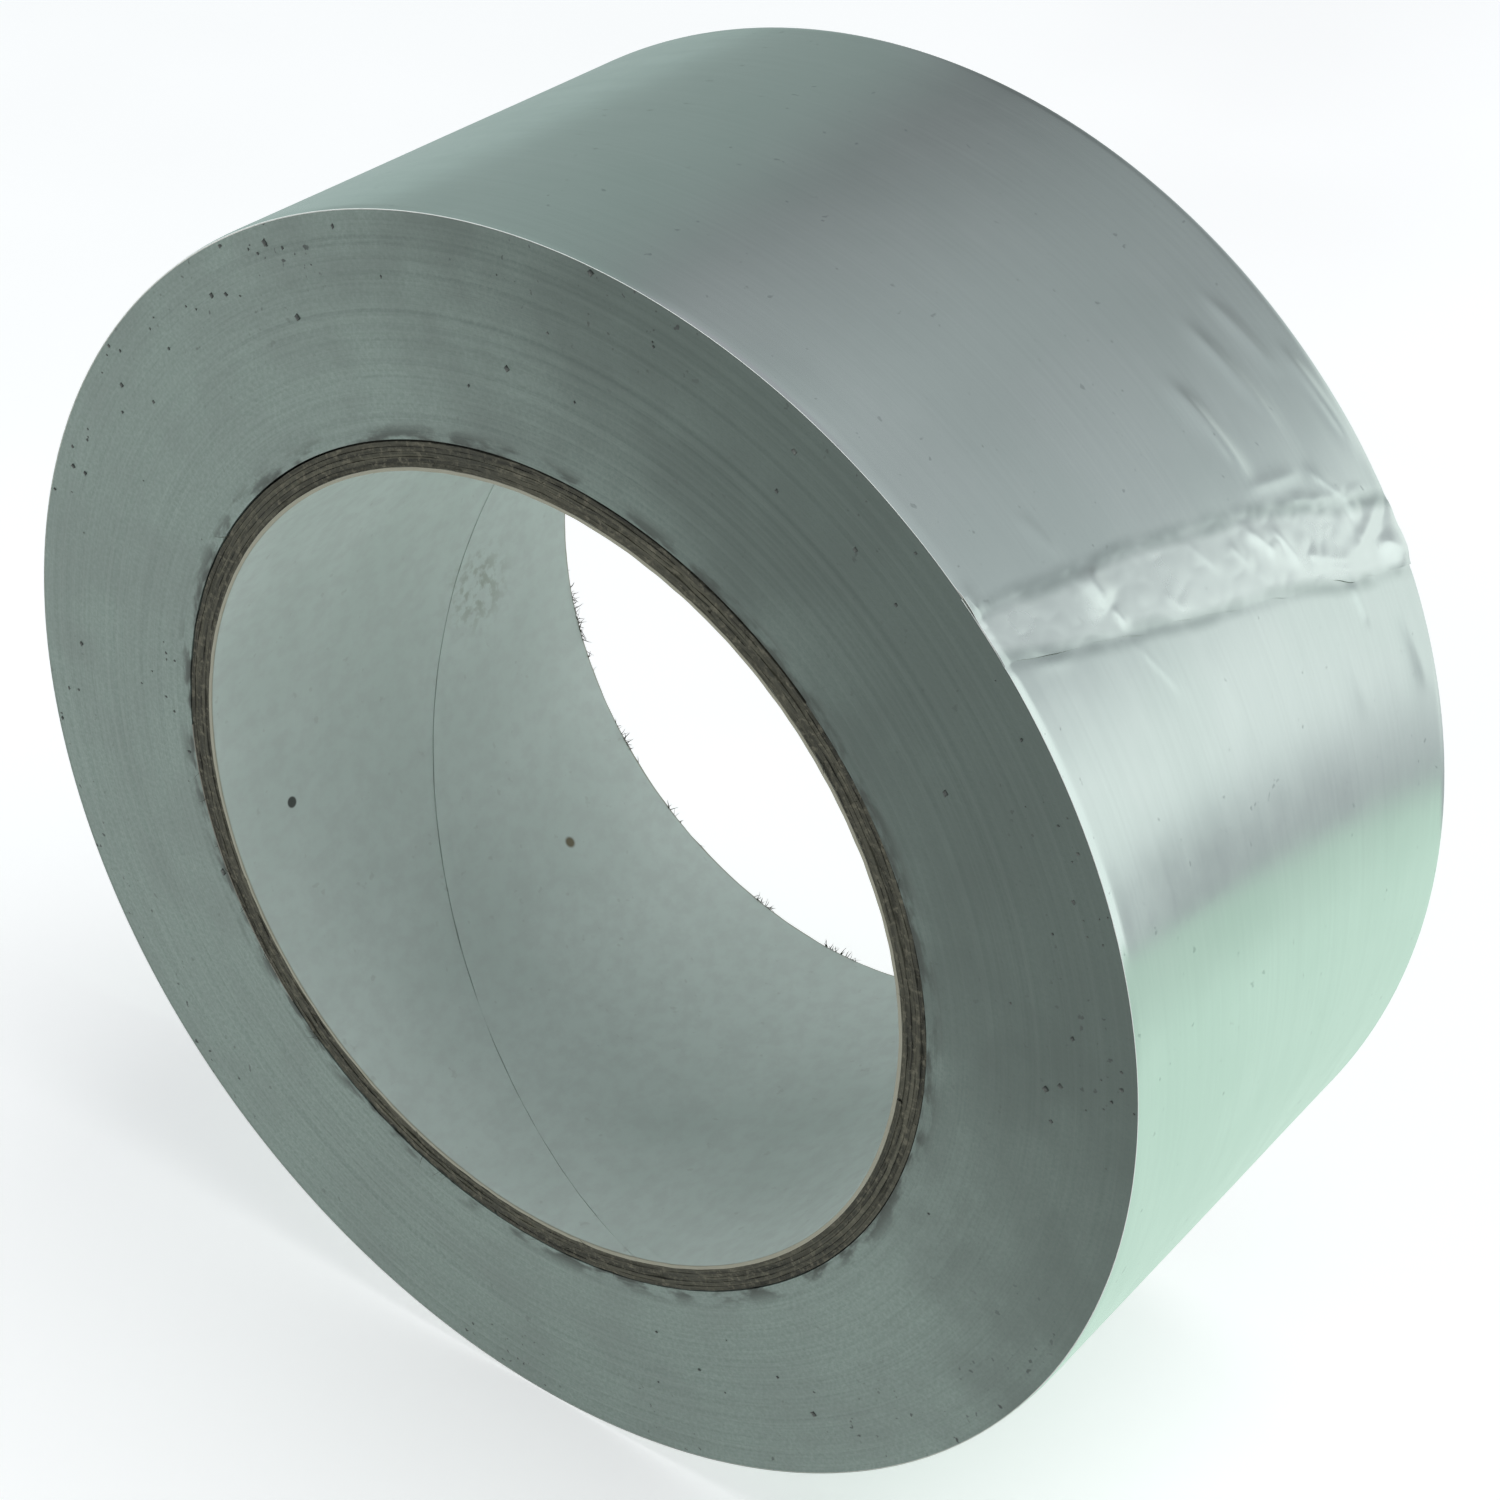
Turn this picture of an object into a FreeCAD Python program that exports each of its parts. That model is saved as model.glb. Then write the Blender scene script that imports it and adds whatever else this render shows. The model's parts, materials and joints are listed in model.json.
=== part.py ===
"""A roll of aluminium foil duct tape, standing on its rim: a spiral-wound paperboard core, the wound tape, the three
layers of its last turn, and the free end that peels up.

The drawing frame looks at the roll's front: x to the right, y up and z out of the front face, with its origin at the
centre of the core's bore. place() turns it into the part's own frame, where the roll's axis is Y and +Z is up.
Angles are in degrees about the axis, from x towards y. Lengths are in millimetres.
"""

import math
import os

import FreeCAD
import Part

# The tape, as it is sold: 45 m of 2 inch foil tape on a 3 inch core
TAPE_WIDTH = 50.8
ROLL_RADIUS = 60.0
FOIL = 0.04
ADHESIVE = 0.03
LINER = 0.07
TURN = FOIL + ADHESIVE + LINER

# The core: a printed-white lining ply and five board plies, each one strip wound into a tube with a helical butt seam
BORE_RADIUS = 38.0
LINING = 0.4
BOARD = 0.44
BOARD_PLIES = 5
CORE_RADIUS = BORE_RADIUS + LINING + BOARD_PLIES * BOARD
SEAM_LEAD = 111.3
LINING_SEAM_GAP = 0.25
BOARD_SEAM_GAP = 0.4
LINING_SEAM_ANGLE = 122.5
SEAM_STEP = 67.0

# The double-sided strip that ties the first turn to the core
TIE_THICKNESS = 0.12
TIE_ARC = 42.0
TIE_ANGLE = 200.0

# The free end of the tape: it peels up about a line across the tape at HINGE_ANGLE. The cut is slanted, and the liner
# is stripped back from it so that bare adhesive holds the end down.
HINGE_ANGLE = 46.0
HINGE_GAP = 0.05
END_CLEARANCE = 0.02
CUT_FRONT_ANGLE = 40.6
CUT_BACK_ANGLE = 27.0
STRIPPED_FRONT_ANGLE = 44.4
STRIPPED_BACK_ANGLE = 33.0

AXIS = FreeCAD.Vector(0, 0, 1)
CENTRE = FreeCAD.Vector(0, 0, 0)
# Two half circles make one turn of the spiral: their centres lie a quarter of a turn's thickness each side of the axis.
CENTRE_SHIFT = TURN / 4


def polar(radius, angle, z=0.0):
    """The point at that radius and angle about the axis."""
    a = math.radians(angle)
    return FreeCAD.Vector(radius * math.cos(a), radius * math.sin(a), z)


def place(shape):
    """Turns a shape from the drawing frame into the part's own frame."""
    turned = shape.copy()
    turned.rotate(CENTRE, FreeCAD.Vector(1, 0, 0), 90)
    return turned


def tube(inner, outer, length=TAPE_WIDTH):
    """A plain tube about the axis, centred on the roll's middle."""
    base = FreeCAD.Vector(0, 0, -length / 2)
    return Part.makeCylinder(outer, length, base, AXIS).cut(Part.makeCylinder(inner, length, base, AXIS))


def across_width(wires):
    """A face inside the first wire, less the others, stretched over the tape's width."""
    face = Part.Face(wires)
    face.translate(FreeCAD.Vector(0, 0, -TAPE_WIDTH / 2))
    return face.extrude(FreeCAD.Vector(0, 0, TAPE_WIDTH))


def arc(centre_x, radius, start, end):
    """An arc of the spiral, drawn with the hinge line on the x axis."""
    circle = Part.Circle(FreeCAD.Vector(centre_x, 0, 0), AXIS, radius)
    return Part.Arc(circle, math.radians(start), math.radians(end)).toShape()


def spiral_turn(start_radius):
    """One turn of the spiral from start_radius on the x axis, as two half circles. It ends one TURN further in."""
    first = arc(CENTRE_SHIFT, start_radius - CENTRE_SHIFT, 0, 180)
    second = arc(-CENTRE_SHIFT, start_radius - 3 * CENTRE_SHIFT, 180, 360)
    return [first, second]


def on_axis(start, end):
    """A straight edge along the x axis."""
    return Part.makeLine(FreeCAD.Vector(start, 0, 0), FreeCAD.Vector(end, 0, 0))


def to_hinge_angle(shape):
    """Turns a shape drawn with the hinge line on the x axis to where the line is."""
    shape.rotate(CENTRE, AXIS, HINGE_ANGLE)
    return shape


def helical_seam(inner, outer, angle, gap):
    """The gap that a butt seam leaves through a ply: a bar swept along a helix, a little longer than the core."""
    spare = 4.0
    height = TAPE_WIDTH + 2 * spare
    radius = (inner + outer) / 2
    depth = outer - inner + 1.0
    helix = Part.makeHelix(SEAM_LEAD, height, radius)
    low, high = radius - depth / 2, radius + depth / 2
    rise = gap / math.cos(math.atan(SEAM_LEAD / (2 * math.pi * radius)))
    corners = [(low, -rise / 2), (high, -rise / 2), (high, rise / 2), (low, rise / 2), (low, -rise / 2)]
    bar = Part.makePolygon([FreeCAD.Vector(x, 0, z) for x, z in corners])
    seam = Part.Wire(helix).makePipeShell([bar], True, True)
    seam.translate(FreeCAD.Vector(0, 0, -height / 2))
    # the bar starts below the core, so it is turned back by what it turns through on the way up to the back face
    seam.rotate(CENTRE, AXIS, angle - 360 * spare / SEAM_LEAD)
    return seam


def core_ply(inner, outer, seam_angle, seam_gap):
    """One ply of the core: a tube, less its seam."""
    return tube(inner, outer).cut(helical_seam(inner, outer, seam_angle, seam_gap))


def core():
    """The core's plies, from the bore outwards."""
    edge = BORE_RADIUS + LINING
    plies = {"core_white_lining": core_ply(BORE_RADIUS, edge, LINING_SEAM_ANGLE, LINING_SEAM_GAP)}
    for n in range(1, BOARD_PLIES + 1):
        angle = LINING_SEAM_ANGLE + n * SEAM_STEP
        plies[f"core_board_ply_{n}"] = core_ply(edge, edge + BOARD, angle, BOARD_SEAM_GAP)
        edge += BOARD
    return plies


def tie_strip():
    """The strip of double-sided tape across the core, under the first turn."""
    low, high = CORE_RADIUS, CORE_RADIUS + TIE_THICKNESS
    half = TIE_ARC / 2
    edges = []
    for radius in (low, high):
        circle = Part.Circle(CENTRE, AXIS, radius)
        edges.append(Part.Arc(circle, math.radians(-half), math.radians(half)).toShape())
    for angle in (-half, half):
        edges.append(Part.makeLine(polar(low, angle), polar(high, angle)))
    strip = across_width([Part.Wire(Part.__sortEdges__(edges))])
    strip.rotate(CENTRE, AXIS, TIE_ANGLE)
    return strip


def wound_turns(strip):
    """All the turns under the last one, which show one spiral step where the last turn starts."""
    start = ROLL_RADIUS - TURN
    outline = Part.Wire([*spiral_turn(start), on_axis(start - TURN, start)])
    turns = to_hinge_angle(across_width([outline]))
    base = FreeCAD.Vector(0, 0, -TAPE_WIDTH / 2)
    return turns.cut(Part.makeCylinder(CORE_RADIUS, TAPE_WIDTH, base, AXIS)).cut(strip)


def last_turn_layer(outer, thickness):
    """One layer of the last turn, from the hinge line round to the same line."""
    inner = outer - thickness
    rim, underside = spiral_turn(outer), spiral_turn(inner)
    edges = [*rim, on_axis(outer - TURN, inner - TURN), *underside, on_axis(inner, outer)]
    return to_hinge_angle(across_width([Part.Wire(Part.__sortEdges__(edges))]))


def slanted_cut(front_angle, back_angle):
    """A block that holds what lies on the hinge's side of a slanted cut across the tape."""
    middle = (front_angle + back_angle) / 2
    aside = ROLL_RADIUS * math.sin(math.radians(front_angle - middle))
    half, reach = TAPE_WIDTH / 2, ROLL_RADIUS / 2
    spare = 1.0
    slope = 2 * aside / TAPE_WIDTH
    corners = [
        (aside + slope * spare, half + spare),
        (-aside - slope * spare, -half - spare),
        (reach, -half - spare),
        (reach, half + spare),
    ]
    inside = ROLL_RADIUS - 2.0
    points = [FreeCAD.Vector(inside, along, z) for along, z in [*corners, corners[0]]]
    block = Part.Face(Part.makePolygon(points)).extrude(FreeCAD.Vector(4.0, 0, 0))
    block.rotate(CENTRE, AXIS, middle)
    return block


def end_layer(outer, thickness, front_angle, back_angle):
    """One layer of the free end, from the hinge line to its slanted cut."""
    inner = outer - thickness
    root = -math.degrees(HINGE_GAP / ROLL_RADIUS)
    tip = back_angle - HINGE_ANGLE - 3.0
    edges = [arc(-CENTRE_SHIFT, r + CENTRE_SHIFT, tip, root) for r in (outer, inner)]
    for end in (0, 1):
        edges.append(Part.makeLine(edges[0].Vertexes[end].Point, edges[1].Vertexes[end].Point))
    layer = to_hinge_angle(across_width([Part.Wire(Part.__sortEdges__(edges))]))
    return layer.common(slanted_cut(front_angle, back_angle))


def build():
    """Every sub-part by its node's name."""
    strip = tie_strip()
    under_foil = ROLL_RADIUS - FOIL
    under_adhesive = under_foil - ADHESIVE
    cut = (CUT_FRONT_ANGLE, CUT_BACK_ANGLE)
    stripped = (STRIPPED_FRONT_ANGLE, STRIPPED_BACK_ANGLE)
    return {
        **core(),
        "core_tie_strip": strip,
        "wound_turns": wound_turns(strip),
        "last_turn_foil": last_turn_layer(ROLL_RADIUS, FOIL),
        "last_turn_adhesive": last_turn_layer(under_foil, ADHESIVE),
        "last_turn_release_liner": last_turn_layer(under_adhesive, LINER),
        "tape_end_foil": end_layer(ROLL_RADIUS, FOIL, *cut),
        "tape_end_adhesive": end_layer(under_foil, ADHESIVE, *cut),
        "tape_end_release_liner": end_layer(under_adhesive, LINER - END_CLEARANCE, *stripped),
    }


def main():
    os.makedirs("parts", exist_ok=True)
    for name, shape in build().items():
        solids = place(shape).Solids
        print(name, len(solids), round(sum(s.Volume for s in solids), 2), all(s.isValid() for s in solids))
        Part.makeCompound(solids).exportStep(f"parts/{name}.step")


main()
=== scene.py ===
"""The looks of a roll of aluminium foil duct tape.

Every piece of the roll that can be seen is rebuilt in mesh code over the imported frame: the wrinkled foil of
the last turn and of its free end, the wound side faces turn by turn, the ragged board plies of the core, and
its white lining.

Shapes are worked out in millimetres, in polar coordinates about the roll's axis: an angle in degrees from +X
towards +Z, a radius, and y along the axis, with the front side face at -HALF_WIDTH.
"""

import json
import math

import bpy
import numpy as np
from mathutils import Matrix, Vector


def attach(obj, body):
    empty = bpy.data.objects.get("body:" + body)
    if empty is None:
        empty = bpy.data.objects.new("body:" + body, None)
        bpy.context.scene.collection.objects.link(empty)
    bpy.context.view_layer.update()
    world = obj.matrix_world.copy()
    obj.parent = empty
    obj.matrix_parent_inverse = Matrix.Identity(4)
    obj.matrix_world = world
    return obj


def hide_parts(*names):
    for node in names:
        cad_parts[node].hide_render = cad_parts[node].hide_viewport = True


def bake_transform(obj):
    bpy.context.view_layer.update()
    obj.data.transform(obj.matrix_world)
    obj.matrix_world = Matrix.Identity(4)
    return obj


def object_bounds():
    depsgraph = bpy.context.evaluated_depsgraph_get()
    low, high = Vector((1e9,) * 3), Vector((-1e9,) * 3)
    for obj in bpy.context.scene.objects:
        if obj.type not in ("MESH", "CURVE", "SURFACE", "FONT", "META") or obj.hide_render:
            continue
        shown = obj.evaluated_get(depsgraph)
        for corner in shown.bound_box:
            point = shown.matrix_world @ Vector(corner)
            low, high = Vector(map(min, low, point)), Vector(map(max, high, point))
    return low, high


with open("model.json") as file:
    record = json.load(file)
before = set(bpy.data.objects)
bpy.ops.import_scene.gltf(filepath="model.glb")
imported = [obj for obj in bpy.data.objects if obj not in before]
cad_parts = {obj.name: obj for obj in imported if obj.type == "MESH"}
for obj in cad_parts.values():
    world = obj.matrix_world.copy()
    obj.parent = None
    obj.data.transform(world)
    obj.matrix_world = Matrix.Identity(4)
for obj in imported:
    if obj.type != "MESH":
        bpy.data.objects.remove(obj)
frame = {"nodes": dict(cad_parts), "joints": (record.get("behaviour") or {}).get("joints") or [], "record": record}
CAD_LOW, CAD_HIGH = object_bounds()

MM = 0.001

# The frame's own sizes
HINGE = next(j for j in frame["joints"] if j["name"] == "tape_end_peel")
BORE = next(m for m in frame["record"]["mounts"] if m["name"] == "core_bore")
HALF_WIDTH = BORE["dims"]["length_mm"] / 2
BORE_RADIUS = BORE["dims"]["r_mm"]
ROLL_RADIUS = math.hypot(HINGE["pos_m"][0], HINGE["pos_m"][2]) / MM
HINGE_ANGLE = math.degrees(math.atan2(HINGE["pos_m"][2], HINGE["pos_m"][0]))

# The laminate
FOIL = 0.04
ADHESIVE = 0.03
PAPER = 0.07
TURN = FOIL + ADHESIVE + PAPER

# The core
BOARD_PLIES = 5
LINING = 0.4
BOARD = 0.44
CORE_RADIUS = BORE_RADIUS + LINING + BOARD_PLIES * BOARD
SEAM_LEAD = 111.3
LINING_SEAM_ANGLE = 122.5
SEAM_STEP = 67.0
BOARD_SEAM_GAP = 0.4
LINING_SEAM_GAP = 0.09

# The free end's slanted lines, the cut and the line that the release paper is stripped back to: the angle at
# the front, the angle at the back, and how far the line bows between them
CUT_LINE = (40.6, 27.0, 0.0)
STRIPPED_LINE = (44.4, 33.0, 1.5)

# How far the adhesive and the paper stay back from the foil's rims
ADHESIVE_INSET = 0.10
PAPER_INSET = 0.05


def degrees_of(length, radius=ROLL_RADIUS):
    """The angle that a length round the roll takes up."""
    return np.degrees(length / radius)


# ---------------------------------------------------------------- meshes


def polar(angle, radius, y):
    """Points from arrays of angle, radius and y, in metres."""
    a = np.radians(angle)
    return np.stack(np.broadcast_arrays(radius * np.cos(a), y, radius * np.sin(a)), axis=-1) * MM


def mesh_piece(name, points, faces, material, smooth=True):
    """A mesh object with one material."""
    mesh = bpy.data.meshes.new(name)
    mesh.from_pydata(points.reshape(-1, 3).tolist(), [], faces)
    mesh.validate()
    mesh.materials.append(material)
    mesh.polygons.foreach_set("use_smooth", [smooth] * len(mesh.polygons))
    piece = bpy.data.objects.new(name, mesh)
    bpy.context.scene.collection.objects.link(piece)
    return piece


def grid_faces(rows, columns, offset=0, flip=False):
    """The quads of a grid of points."""
    first = (np.arange(rows - 1)[:, None] * columns + np.arange(columns - 1)[None, :]).ravel() + offset
    quads = np.stack([first, first + 1, first + columns + 1, first + columns], axis=1)
    return (quads[:, ::-1] if flip else quads).tolist()


def wall_faces(loop_a, loop_b):
    """The quads between two closed loops of point numbers."""
    following = zip(loop_a, loop_b, [*loop_a[1:], loop_a[0]], [*loop_b[1:], loop_b[0]])
    return [[a, b, next_b, next_a] for a, b, next_a, next_b in following]


def sheet_solid(name, outer, inner, material, body="roll"):
    """A closed solid between two grids of points: rows along y, and columns round the roll."""
    rows, columns = outer.shape[:2]
    count = rows * columns
    top = np.arange(count).reshape(rows, columns)
    loop = [*top[0, :], *top[1:, -1], *top[-1, -2::-1], *top[-2:0:-1, 0]]
    loop = [int(i) for i in loop]
    faces = grid_faces(rows, columns, flip=True) + grid_faces(rows, columns, count)
    faces += wall_faces(loop, [i + count for i in loop])
    piece = mesh_piece(name, np.concatenate([outer.reshape(-1, 3), inner.reshape(-1, 3)]), faces, material)
    piece.data.set_sharp_from_angle(angle=math.radians(40))
    if body:
        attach(piece, body)
    return piece


def random_waves(seed, along, across, count=28):
    """A smooth random surface of about unit height, its waves about as long as the two lengths."""
    rng = np.random.default_rng(seed)
    ka = rng.normal(0, 2 * math.pi / along / 1.4, count)
    kb = rng.normal(0, 2 * math.pi / across / 1.4, count)
    phase = rng.uniform(0, 2 * math.pi, count)

    def height(u, v):
        total = sum(np.cos(a * u + b * v + p) for a, b, p in zip(ka, kb, phase))
        return total / math.sqrt(count / 2)

    return height


def smoothstep(low, high, value):
    """Goes smoothly from 0 at low to 1 at high; low may be the larger of the two."""
    t = np.clip((value - low) / (high - low), 0, 1)
    return t * t * (3 - 2 * t)


# ---------------------------------------------------------------- materials


class Nodes:
    """Short names for building a node material."""

    def __init__(self, name):
        self.material = bpy.data.materials.new(name)
        self.material.use_nodes = True
        self.tree = self.material.node_tree
        self.shader = self.tree.nodes["Principled BSDF"]
        self.position = self.new("ShaderNodeTexCoord").outputs["Object"]
        split = self.new("ShaderNodeSeparateXYZ")
        self.link(self.position, split.inputs[0])
        self.x, self.y, self.z = split.outputs
        x_squared = self.math("MULTIPLY", self.x, self.x)
        z_squared = self.math("MULTIPLY", self.z, self.z)
        self.radius = self.math("SQRT", self.math("ADD", x_squared, z_squared))

    def new(self, kind):
        return self.tree.nodes.new(kind)

    def link(self, source, target):
        """Wires a socket to another, or sets a plain number on it."""
        if isinstance(source, (int, float)):
            target.default_value = source
        else:
            self.tree.links.new(source, target)

    def math(self, operation, a, b=0.0, c=0.0):
        node = self.new("ShaderNodeMath")
        node.operation = operation
        for value, socket in zip((a, b, c), node.inputs):
            self.link(value, socket)
        return node.outputs[0]

    def vector(self, x, y, z):
        node = self.new("ShaderNodeCombineXYZ")
        for value, socket in zip((x, y, z), node.inputs):
            self.link(value, socket)
        return node.outputs[0]

    def stretched(self, round_scale, y_scale):
        """Coordinates for a texture that is drawn out round the roll."""
        return self.vector(
            self.math("MULTIPLY", self.x, round_scale),
            self.math("MULTIPLY", self.y, y_scale),
            self.math("MULTIPLY", self.z, round_scale),
        )

    def concentric(self, radial_scale, round_scale):
        """Coordinates for a texture on a side face, in rings about the axis."""
        return self.vector(
            self.math("MULTIPLY", self.radius, radial_scale),
            self.math("MULTIPLY", self.x, round_scale),
            self.math("MULTIPLY", self.z, round_scale),
        )

    def noise(self, vector, scale=1.0, detail=4.0, roughness=0.55):
        node = self.new("ShaderNodeTexNoise")
        node.inputs["Scale"].default_value = scale
        node.inputs["Detail"].default_value = detail
        node.inputs["Roughness"].default_value = roughness
        self.link(vector, node.inputs["Vector"])
        return node.outputs["Fac"]

    def ramp(self, value, low, high, out_low=0.0, out_high=1.0):
        """Goes smoothly from out_low to out_high while the value goes from low to high."""
        node = self.new("ShaderNodeMapRange")
        node.interpolation_type = "SMOOTHSTEP"
        for number, socket in zip((value, low, high, out_low, out_high), node.inputs):
            self.link(number, socket)
        return node.outputs[0]

    def mix(self, factor, a, b):
        """A colour between two colours, each four numbers or a socket."""
        node = self.new("ShaderNodeMix")
        node.data_type = "RGBA"
        self.link(factor, node.inputs[0])
        for colour, socket in ((a, node.inputs[6]), (b, node.inputs[7])):
            if isinstance(colour, tuple):
                socket.default_value = colour
            else:
                self.link(colour, socket)
        return node.outputs[2]

    def spot(self, centre, size, softness=0.5):
        """1 within a ball about a point, falling to 0 at its size, both in metres."""
        node = self.new("ShaderNodeVectorMath")
        node.operation = "DISTANCE"
        self.link(self.position, node.inputs[0])
        node.inputs[1].default_value = centre
        return self.ramp(node.outputs["Value"], size * (1 - softness), size, 1.0, 0.0)

    def off_line(self, line):
        """The angle from a slanted line of the free end, in degrees, with a little waviness."""
        front, back, bow = line
        angle = self.math("MULTIPLY", self.math("ARCTAN2", self.z, self.x), 180 / math.pi)
        share = self.math("MULTIPLY_ADD", self.y, 1 / (2 * HALF_WIDTH * MM), 0.5)
        hump = self.math("MULTIPLY", share, self.math("SUBTRACT", 1.0, share))
        curve = self.math("MULTIPLY", hump, 4 * bow)
        place = self.math("ADD", self.math("MULTIPLY_ADD", share, back - front, front), curve)
        wander = self.ramp(self.noise(self.position, scale=85, detail=1), 0.2, 0.8, -0.5, 0.5)
        return self.math("SUBTRACT", angle, self.math("ADD", place, wander))

    def painted_line_shade(self, off_line, half_width, strength):
        """A soft, uneven streak of painted shade along a slanted line; half_width is in millimetres."""
        off = self.math("ABSOLUTE", off_line)
        shade_streak = self.ramp(off, 0.0, 1.6 * degrees_of(half_width), 1.0, 0.0)
        patches = self.noise(self.position, scale=210, detail=2)
        uneven = self.ramp(patches, 0.35, 0.6, 0.35 * strength, strength)
        return self.math("MULTIPLY", shade_streak, uneven)

    def bump(self, height, distance, strength=1.0, under=None):
        """A bumped normal, on top of another one if that is given; distance is in metres."""
        node = self.new("ShaderNodeBump")
        node.inputs["Strength"].default_value = strength
        node.inputs["Distance"].default_value = distance
        self.link(height, node.inputs["Height"])
        if under is not None:
            self.link(under, node.inputs["Normal"])
        return node.outputs["Normal"]

    def finish(self, colour, roughness, normal, **uniform):
        """Wires the shader; uniform values go straight onto its sockets."""
        self.link(colour, self.shader.inputs["Base Color"])
        self.link(roughness, self.shader.inputs["Roughness"])
        self.link(normal, self.shader.inputs["Normal"])
        for name, value in uniform.items():
            self.shader.inputs[name.replace("_", " ")].default_value = value
        return self.material


def foil_material():
    """Bright rolled foil: fine rolling marks round the roll, a soft mottle, a few scuffs, and painted shade along
    the free end's two slanted lines.
    """
    n = Nodes("rolled_foil")
    marks = n.noise(n.stretched(45, 2600), detail=5, roughness=0.65)
    broad = n.noise(n.stretched(30, 260), detail=3)
    mottle = n.noise(n.position, scale=420, detail=3)
    cloud = n.noise(n.position, scale=60, detail=3)
    scuffs = n.ramp(n.noise(n.position, scale=900, detail=2), 0.70, 0.76)
    colour = n.mix(n.ramp(cloud, 0.35, 0.65), (0.73, 0.79, 0.765, 1), (0.77, 0.82, 0.80, 1))
    colour = n.mix(n.ramp(marks, 0.3, 0.75, 0.0, 0.22), colour, (0.64, 0.69, 0.675, 1))
    colour = n.mix(n.math("MULTIPLY", scuffs, 0.5), colour, (0.42, 0.46, 0.45, 1))
    off_cut, off_stripped = n.off_line(CUT_LINE), n.off_line(STRIPPED_LINE)
    pressed = n.math("MULTIPLY", n.ramp(off_cut, -0.4, 1.2), n.ramp(off_stripped, -1.2, 0.6, 1.0, 0.0))
    colour = n.mix(n.math("MULTIPLY", pressed, 0.7), colour, (0.88, 0.92, 0.90, 1))
    # Painted shade: the foil is darkened in soft streaks along the cut line and the stripped line, where shade
    # falls in their grooves.
    colour = n.mix(n.painted_line_shade(off_cut, 0.75, 0.6), colour, (0.42, 0.47, 0.455, 1))
    colour = n.mix(n.painted_line_shade(off_stripped, 0.75, 0.7), colour, (0.42, 0.47, 0.455, 1))
    roughness = n.math("ADD", n.ramp(broad, 0.3, 0.7, 0.13, 0.18), n.ramp(mottle, 0.3, 0.7, 0.0, 0.03))
    roughness = n.math("MULTIPLY_ADD", pressed, 0.09, roughness)
    normal = n.bump(marks, 0.00002, 0.12)
    normal = n.bump(mottle, 0.00006, 0.08, normal)
    around = n.new("ShaderNodeTangent")
    around.direction_type = "RADIAL"
    around.axis = "Y"
    n.link(around.outputs[0], n.shader.inputs["Tangent"])
    return n.finish(colour, roughness, normal, Metallic=1.0, Anisotropic=0.7, Anisotropic_Rotation=0.25)


def side_material():
    """The slit edges of the turns: dull grey-green rings, dirt near the rim, a smear by the core, and painted
    shade that darkens them towards +X and +Z.
    """
    n = Nodes("slit_edges")
    rings = n.noise(n.concentric(5200, 26), detail=3, roughness=0.7)
    bands = n.noise(n.concentric(700, 40), detail=4)
    grain = n.noise(n.position, scale=2600, detail=3, roughness=0.7)
    cloud = n.noise(n.position, scale=110, detail=4)
    colour = n.mix(n.ramp(rings, 0.3, 0.7), (0.164, 0.220, 0.190, 1), (0.204, 0.266, 0.234, 1))
    colour = n.mix(n.ramp(grain, 0.35, 0.7, 0.0, 0.6), colour, (0.30, 0.365, 0.33, 1))
    colour = n.mix(n.ramp(bands, 0.45, 0.75, 0.0, 0.12), colour, (0.130, 0.160, 0.145, 1))
    colour = n.mix(n.ramp(cloud, 0.35, 0.7, 0.0, 0.3), colour, (0.155, 0.182, 0.168, 1))
    # Painted shade: the side faces are darkened towards +X and +Z, with a cloudy edge to the gradient.
    painted_shade_gradient = n.math("ADD", n.math("MULTIPLY", n.x, 0.80), n.math("MULTIPLY", n.z, 0.60))
    painted_shade_gradient = n.math("ADD", painted_shade_gradient, n.ramp(cloud, 0.2, 0.8, -0.006, 0.006))
    colour = n.mix(n.ramp(painted_shade_gradient, 0.004, 0.052, 0.0, 0.75), colour, (0.066, 0.090, 0.077, 1))
    dirt = n.ramp(n.noise(n.position, scale=1100, detail=2), 0.665, 0.71)
    near_rim = n.ramp(n.radius, 0.050, 0.0585, 0.25, 1.0)
    patches = n.ramp(n.noise(n.position, scale=55, detail=2), 0.42, 0.58)
    dirt = n.math("MULTIPLY", dirt, n.math("MULTIPLY", near_rim, patches))
    colour = n.mix(dirt, colour, (0.055, 0.065, 0.06, 1))
    near_core = n.ramp(n.radius, 0.0406, 0.0428, 0.95, 0.0)
    smear = n.math("MULTIPLY", near_core, n.ramp(n.noise(n.concentric(700, 260), detail=4), 0.42, 0.6))
    colour = n.mix(smear, colour, (0.055, 0.066, 0.056, 1))
    normal = n.bump(rings, 0.00005, 0.5)
    normal = n.bump(grain, 0.00008, 0.5, normal)
    return n.finish(colour, n.ramp(grain, 0.3, 0.7, 0.48, 0.62), normal, Metallic=0.35)


def board_material(number):
    """Raw brown board, a little different in each ply, with fibres, paler pulp and dark patches."""
    n = Nodes(f"raw_board_{number}")
    shade = 0.85 + 0.3 * ((number * 3) % BOARD_PLIES) / BOARD_PLIES
    fibres = n.noise(n.concentric(2400, 90), detail=5, roughness=0.7)
    pulp = n.noise(n.position, scale=1500, detail=4, roughness=0.7)
    patches = n.noise(n.position, scale=160, detail=3)
    dark = tuple(c * shade for c in (0.023, 0.024, 0.016)) + (1,)
    light = tuple(c * shade for c in (0.082, 0.081, 0.056)) + (1,)
    colour = n.mix(n.ramp(fibres, 0.35, 0.65), dark, light)
    colour = n.mix(n.ramp(pulp, 0.48, 0.68, 0.0, 0.6), colour, (0.18, 0.172, 0.125, 1))
    colour = n.mix(n.ramp(patches, 0.5, 0.7, 0.0, 0.45), colour, (0.040, 0.043, 0.032, 1))
    normal = n.bump(pulp, 0.00018, 0.8)
    return n.finish(colour, n.ramp(pulp, 0.3, 0.7, 0.82, 0.95), normal)


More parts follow.
